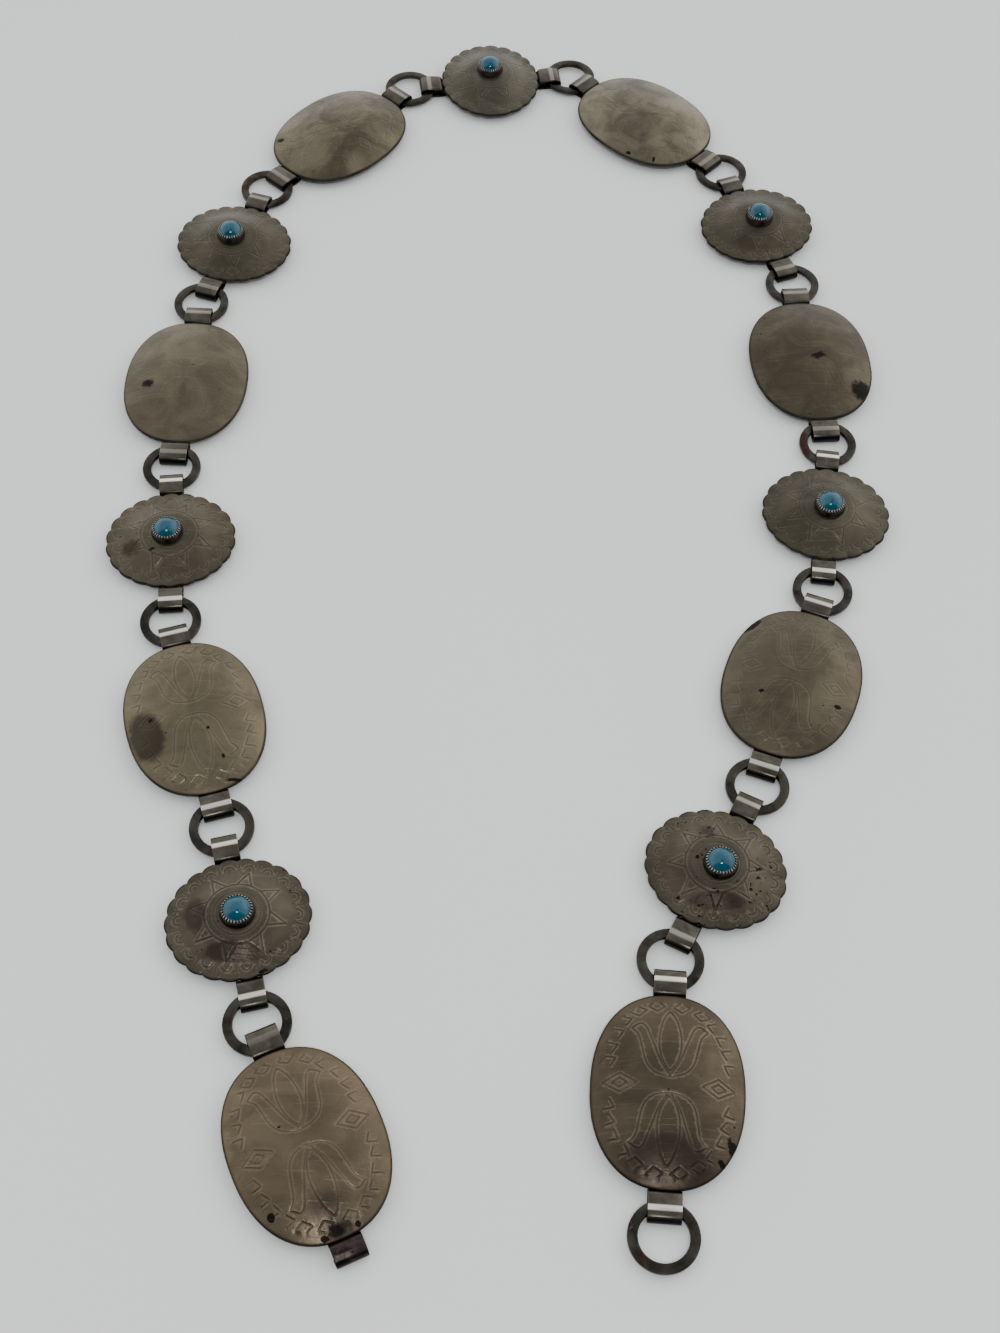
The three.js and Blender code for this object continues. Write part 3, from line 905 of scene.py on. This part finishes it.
def ring_metal(groups, name, rust_amount):
    material, b = new_material(name)
    tarnish = b.group(groups["tarnish"], Cloud_size=0.006, Speck_size=0.0014, Speck_amount=0.8)
    colour = b.mix(tarnish["Clouds"], (0.014, 0.0125, 0.010), (0.056, 0.053, 0.043))
    place = b.add("ShaderNodeTexCoord").outputs["Object"]
    patches = b.between(b.noise(place, 170.0, 3.0, 0.6), 0.50, 0.62)
    colour = b.cover(colour, patches, rust_amount, (0.030, 0.011, 0.008))
    rust = b.mix(tarnish["Specks"], colour, (0.04, 0.014, 0.009))
    rough = b.maths("ADD", b.maths("MULTIPLY", tarnish["Specks"], 0.25), 0.27)
    height = b.maths("ADD", b.maths("MULTIPLY", tarnish["Grain"], 0.6), tarnish["Specks"])
    metallic = b.maths("SUBTRACT", 0.92, b.maths("MULTIPLY", tarnish["Specks"], 0.6))
    finish_surface(b, rust, rough, metallic, height, 0.4, 0.00007)
    return material


def bezel_metal(groups):
    material, b = new_material("bezel_metal")
    tarnish = b.group(groups["tarnish"], Cloud_size=0.002, Speck_size=0.0007, Speck_amount=0.6)
    colour = b.mix(tarnish["Clouds"], (0.024, 0.02, 0.017), (0.05, 0.043, 0.036))
    finish_surface(b, colour, 0.34, 0.95, tarnish["Grain"], 0.3, 0.00005)
    return material


def tooth_metal(groups):
    material, b = new_material("tooth_metal")
    tarnish = b.group(groups["tarnish"], Cloud_size=0.0016, Speck_size=0.0007, Speck_amount=0.6)
    colour = b.mix(tarnish["Clouds"], (0.34, 0.32, 0.285), (0.13, 0.12, 0.10))
    finish_surface(b, colour, 0.3, 0.95, tarnish["Grain"], 0.2, 0.00004)
    return material


def turquoise():
    material, b = new_material("turquoise")
    place = b.add("ShaderNodeTexCoord").outputs["Object"]
    clouds = b.between(b.noise(place, 260.0, 4.0, 0.6, 0.4), 0.32, 0.7)
    fine = b.noise(place, 1400.0, 3.0, 0.6)
    colour = b.mix(clouds, (0.002, 0.050, 0.084), (0.005, 0.082, 0.128))
    colour = b.mix(b.maths("MULTIPLY", b.between(fine, 0.55, 0.75), 0.25), colour, (0.016, 0.12, 0.165))
    bsdf = finish_surface(b, colour, 0.35, 0.0, fine, 0.15, 0.00004)
    bsdf.inputs["Specular IOR Level"].default_value = 0.0
    bsdf.inputs["Coat Weight"].default_value = 0.85
    bsdf.inputs["Coat Roughness"].default_value = 0.05
    return material


def paper():
    material, b = new_material("paper")
    place = b.add("ShaderNodeTexCoord").outputs["Object"]
    fibre = b.noise(place, 900.0, 3.0, 0.6)
    colour = b.mix(b.noise(place, 6.0, 2.0), (0.845, 0.85, 0.835), (0.875, 0.88, 0.865))
    finish_surface(b, colour, 0.85, 0.0, fibre, 0.1, 0.0001)
    return material


# How the belt lies, read from the solids

def node_centre(name):
    low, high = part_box(name)
    return (Vector(low) + Vector(high)) / 2


RING_NAMES = ["end_ring"] + [f"link_ring_{k}" for k in range(1, 15)]
CONCHO_NAMES = [f"plain_concho_{k // 2 + 1}" if k % 2 == 0 else f"scalloped_concho_{k // 2 + 1}" for k in range(15)]


def dome_peak(name):
    """The highest point of a plain concho. Its box won't do, because the last one ends in a hook."""
    return max((v.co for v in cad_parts[name].data.vertices), key=lambda point: point.z).copy()


def belt_places():
    """Centre and heading of each concho, with +Y of its own pattern along the belt."""
    rings = [node_centre(name) for name in RING_NAMES]
    places = []
    for k, name in enumerate(CONCHO_NAMES):
        centre = dome_peak(name) if k % 2 == 0 else node_centre(name)
        forward = (rings[k + 1] if k + 1 < len(rings) else centre) - rings[k]
        heading = math.atan2(-forward.x, forward.y)
        places.append((name, centre.x / MM, centre.y / MM, heading))
    return rings, places


def laid(points, x, y, heading):
    c, s = math.cos(heading), math.sin(heading)
    out = np.array(points, dtype=float)
    px, py = out[:, 0].copy(), out[:, 1].copy()
    out[:, 0] = x + c * px - s * py
    out[:, 1] = y + s * px + c * py
    return out


# Stains seen on each concho, in millimetres across and along it:
# across, along, half width, half height, turn, ragged, softness
STAINS = {
    "plain_concho_1": [(14.6, -12.6, 1.3, 2.4, 0.5, 0.9, 0.25), (12.2, -16.3, 0.8, 1.6, 0.75, 1.0, 0.25),
                       (-0.2, -1.4, 0.25, 0.25, 0.0, 0.2, 0.3)],
    "plain_concho_2": [(-14.2, 13.0, 1.0, 3.2, -0.55, 0.45, 0.3), (12.9, -4.6, 1.1, 0.7, 0.2, 0.4, 0.3),
                       (-6.5, -7.5, 0.8, 0.6, 0.3, 0.8, 0.3)],
    "plain_concho_3": [(12.5, -13.5, 4.0, 4.0, 0.0, 0.6, 0.5), (1.5, -2.0, 2.6, 1.4, 0.3, 0.9, 0.5)],
    "plain_concho_4": [(-12.4, -14.8, 1.1, 0.5, 0.6, 0.6, 0.3), (-15.6, -7.0, 0.5, 0.9, 0.2, 0.6, 0.3)],
    "plain_concho_5": [(11.0, 15.5, 1.6, 1.0, 0.5, 0.5, 0.4)],
    "plain_concho_6": [(10.0, 4.0, 2.2, 2.0, 0.0, 0.9, 0.6)],
    "plain_concho_7": [(10.8, -0.2, 0.7, 0.6, 0.0, 0.3, 0.3), (-4.6, 14.6, 0.45, 0.7, 0.0, 0.3, 0.3),
                       (-2.6, 6.4, 0.5, 0.5, 0.0, 0.3, 0.3),
                       (-5.6, 20.9, 2.2, 0.45, -0.2, 1.0, 0.3)],
    "plain_concho_8": [(12.8, 12.6, 1.0, 1.1, 0.0, 0.5, 0.2), (4.3, -4.4, 0.4, 0.3, 0.0, 0.3, 0.3),
                       (0.9, 20.8, 3.0, 2.0, 0.0, 0.5, 0.7), (3.9, 21.3, 1.0, 0.7, 0.0, 0.8, 0.2),
                       (-3.8, 21.2, 0.6, 0.7, 0.0, 0.8, 0.2)],
    "scalloped_concho_1": [(-4.9, -0.8, 0.5, 0.7, 0.2, 0.8, 0.4), (2.0, -6.6, 0.7, 0.25, 0.4, 0.8, 0.4)],
    "scalloped_concho_2": [(9.2, 14.2, 1.4, 1.0, 0.6, 0.4, 0.3)],
    "scalloped_concho_6": [(4.6, 5.1, 0.9, 0.5, 0.3, 0.9, 0.4), (-5.5, -15.0, 1.0, 0.7, 0.3, 0.5, 0.4)],
    "scalloped_concho_7": [(-3.6, 14.6, 1.4, 0.6, 0.2, 1.0, 0.5)],
}

# Larger parts that are only darker, given in the same way: painted dark reflections, and painted shade that damps the
# lamp's sheen, with a few darker tarnish patches
SHADES = {
    "plain_concho_1": [(0.3, -17.6, 12.0, 8.2, 0.0, 0.12, 0.4)],
    "plain_concho_7": [(12.6, 3.6, 5.2, 8.6, 0.1, 0.2, 0.35)],
    "plain_concho_8": [(0.6, 19.6, 4.6, 4.2, 0.0, 0.35, 0.8), (0.0, 21.4, 3.6, 2.2, 0.0, 0.3, 0.4),
                       (1.2, 15.0, 8.6, 4.4, 0.0, 0.1, 0.98)],
    "scalloped_concho_1": [(3.9, -8.6, 7.6, 2.6, 0.44, 0.2, 0.35), (-5.6, 7.4, 3.0, 2.6, 0.3, 0.9, 0.7)],
    "scalloped_concho_6": [(10.4, 3.2, 3.4, 3.4, 0.0, 0.5, 0.6)],
    "scalloped_concho_7": [(9.6, -2.4, 3.4, 5.6, -0.1, 0.25, 0.45), (2.5, 9.0, 8.0, 2.9, -0.26, 0.2, 0.3),
                          (1.6, 9.4, 3.4, 2.2, -0.26, 0.2, 0.9)],
}

# How deep the stamping still shows on each concho, how bright the painted highlight on its rubbed straps is,
# which rings are rusty and which conchos lie turned end for end
DEPTHS = {"plain_concho_1": 0.10, "plain_concho_2": 0.05, "plain_concho_3": 0.03, "plain_concho_4": 0.04,
          "plain_concho_5": 0.05, "plain_concho_6": 0.035, "plain_concho_7": 0.07, "plain_concho_8": 0.09,
          "scalloped_concho_1": 0.08, "scalloped_concho_2": 0.06, "scalloped_concho_3": 0.06, "scalloped_concho_4": 0.06,
          "scalloped_concho_5": 0.06, "scalloped_concho_6": 0.07, "scalloped_concho_7": 0.09}
STRAP_POLISH_AND_HIGHLIGHT = {"plain_concho_1": 1.0, "scalloped_concho_1": 0.4, "plain_concho_2": 0.5, "scalloped_concho_2": 0.65,
                "scalloped_concho_6": 0.7, "plain_concho_7": 0.55, "scalloped_concho_7": 0.6, "plain_concho_8": 0.28}
RUSTY_RINGS = {"end_ring", "link_ring_4", "link_ring_9"}
MIRRORED = {"plain_concho_3", "plain_concho_6", "scalloped_concho_2", "scalloped_concho_5"}


def placed_patch(row, x, y, heading):
    """Input values of the patch group for one row of the stain and shade tables, given across and along a concho."""
    u, v, half_u, half_v, turn, ragged, softness = row
    c, s = math.cos(heading), math.sin(heading)
    centre = (round((x + c * u - s * v) * MM, 6), round((y + s * u + c * v) * MM, 6), 0.005)
    return {"Centre": centre, "Half_size": (half_u * MM, half_v * MM, 1.0), "Turn": -(heading + turn),
            "Ragged": ragged, "Softness": softness}


def joined(parts):
    """Several pieces of soldered metal as one list of points and faces, with a slot for each."""
    points, faces, slots = [], [], []
    start = 0
    for slot, p, f in parts:
        points.append(p)
        faces.extend(tuple(i + start for i in face) for face in f)
        slots.extend([slot] * len(f))
        start += len(p)
    return np.vstack(points), faces, slots


def make_belt(materials, groups):
    rings, places = belt_places()
    plain_flat = flat_sheet(PLAIN, plain_pattern())
    sun_flat = flat_sheet(SCALLOPED, sun_pattern(SCALLOPED), sun_dots(SCALLOPED))
    cup = bezel_cup()
    teeth = grow(teeth_tree(), "teeth", TEETH)
    teeth[0][:, 2] += DOME_TOP + TEETH_BASE
    ring_shape = grow(ring_tree(), "ring", FLAT_RING)
    stone_shape = lathe(stone_profile(), 48)

    for name, centre in zip(RING_NAMES, rings):
        points = ring_shape[0] + np.array([centre.x, centre.y, centre.z]) / MM
        metal = materials["rusty_ring" if name in RUSTY_RINGS else "ring"]
        piece = mesh_object("flat_" + name, points, ring_shape[1], [metal])
        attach(piece, "root")
        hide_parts(name)

    for k, (name, x, y, heading) in enumerate(places):
        is_plain = k % 2 == 0
        kind = PLAIN if is_plain else SCALLOPED
        flat = plain_flat if is_plain else sun_flat
        sheet = domed_sheet(kind, flat, DEPTHS[name], name in MIRRORED, not is_plain)
        far_strap = strap(kind, 1, name == "plain_concho_8")
        near_strap = strap(kind, -1, False)
        parts = [(0, *sheet[:2]), (1, *near_strap[:2]),
                 (2 if name == "plain_concho_8" else 1, *far_strap[:2])]
        if not is_plain:
            gem_name = f"turquoise_{k // 2 + 1}"
            seat = node_centre(gem_name) / MM
            shift = math.cos(heading) * (seat.x - x) + math.sin(heading) * (seat.y - y)
            parts += [(slot, p + np.array([shift, 0.0, 0.0]), f) for slot, p, f in ((2, *cup), (3, *teeth))]
        points, faces, slots = joined(parts)
        # Painted highlight, painted shade and painted dark reflection along the straps; each strap's highlight is
        # capped by its own value.
        strap_highlight_and_shade = np.zeros(len(points))
        first = len(sheet[0])
        for wear in (near_strap[2], far_strap[2]):
            strap_highlight_and_shade[first:first + len(wear)] = np.minimum(wear, STRAP_POLISH_AND_HIGHLIGHT.get(name, 0.35))
            first += len(wear)
        extra = len(points) - len(sheet[0])
        attributes = {
            "relief": np.concatenate([sheet[2], np.zeros(extra)]),
            "rim": np.concatenate([sheet[3], np.zeros(extra)]),
            "strap_highlight_and_shade": strap_highlight_and_shade,
        }
        stains = [placed_patch(row, x, y, heading) for row in STAINS.get(name, [])]
        shades = [placed_patch(row, x, y, heading) for row in SHADES.get(name, [])]
        metals = [concho_metal("metal_" + name, groups, TONES[name], stains, shades), materials["strap"]]
        metals += [materials["hook"]] if is_plain else [materials["bezel"], materials["tooth"]]
        piece = mesh_object("stamped_" + name, laid(points, x, y, heading), faces, metals, slots, attributes)
        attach(piece, "root")
        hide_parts(name)
        if not is_plain:
            points = stone_shape[0] + np.array([seat.x, seat.y, DOME_TOP + STONE_GAP])
            gem = mesh_object("cabochon_" + gem_name, points, stone_shape[1], [materials["stone"]])
            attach(gem, "root")
            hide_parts(gem_name)


def tone(colour, rough, specks, rubbed=0.13, mottling=0.23):
    """Tarnished metal: its middle colour, how matt and speckled it is, how light its marks' edges are."""
    dark = tuple((1.0 - mottling) * c for c in colour)
    light = tuple((1.0 + mottling) * c for c in colour)
    return {"dark": dark, "light": light, "rough": rough, "specks": specks, "rubbed": rubbed}


TONES = {
    "plain_concho_1": tone((0.0668, 0.0528, 0.0355), 0.37, 0.5, 0.2),
    "plain_concho_2": tone((0.0758, 0.0646, 0.0440), 0.41, 0.6),
    "plain_concho_3": tone((0.0601, 0.0516, 0.0341), 0.41, 0.9),
    "plain_concho_4": tone((0.1157, 0.1029, 0.0715), 0.37, 0.5, 0.13, 0.42),
    "plain_concho_5": tone((0.0973, 0.0840, 0.0568), 0.39, 0.5, 0.13, 0.42),
    "plain_concho_6": tone((0.0935, 0.0800, 0.0547), 0.39, 0.7),
    "plain_concho_7": tone((0.1101, 0.0919, 0.0603), 0.35, 0.6),
    "plain_concho_8": tone((0.1027, 0.0800, 0.0519), 0.37, 0.5),
    "scalloped_concho_1": tone((0.0630, 0.0543, 0.0388), 0.38, 1.3),
    "scalloped_concho_2": tone((0.0573, 0.0517, 0.0359), 0.41, 0.6),
    "scalloped_concho_3": tone((0.0531, 0.0466, 0.0326), 0.41, 0.6),
    "scalloped_concho_4": tone((0.0667, 0.0613, 0.0441), 0.41, 0.6),
    "scalloped_concho_5": tone((0.0620, 0.0549, 0.0377), 0.39, 0.6),
    "scalloped_concho_6": tone((0.0680, 0.0589, 0.0412), 0.37, 0.8),
    "scalloped_concho_7": tone((0.0652, 0.0568, 0.0403), 0.36, 0.8, 0.2),
}


def make_floor():
    mesh = bpy.data.meshes.new("paper_floor")
    mesh.from_pydata([(-3, -3, 0), (3, -3, 0), (3, 3, 0), (-3, 3, 0)], [], [(0, 1, 2, 3)])
    floor = bpy.data.objects.new("paper_floor", mesh)
    bpy.context.scene.collection.objects.link(floor)
    mesh.materials.append(paper())


add_camera()
add_room_light()
effect_groups = {"tarnish": tarnish_group(), "wear": wear_group(), "stain": oval_patch_group()}
finishes = {
    "strap": strap_metal(effect_groups),
    "ring": ring_metal(effect_groups, "ring_metal", 0.25),
    "rusty_ring": ring_metal(effect_groups, "rusty_ring_metal", 0.85),
    "hook": hook_metal(effect_groups),
    "bezel": bezel_metal(effect_groups),
    "tooth": tooth_metal(effect_groups),
    "stone": turquoise(),
}
make_belt(finishes, effect_groups)
make_floor()
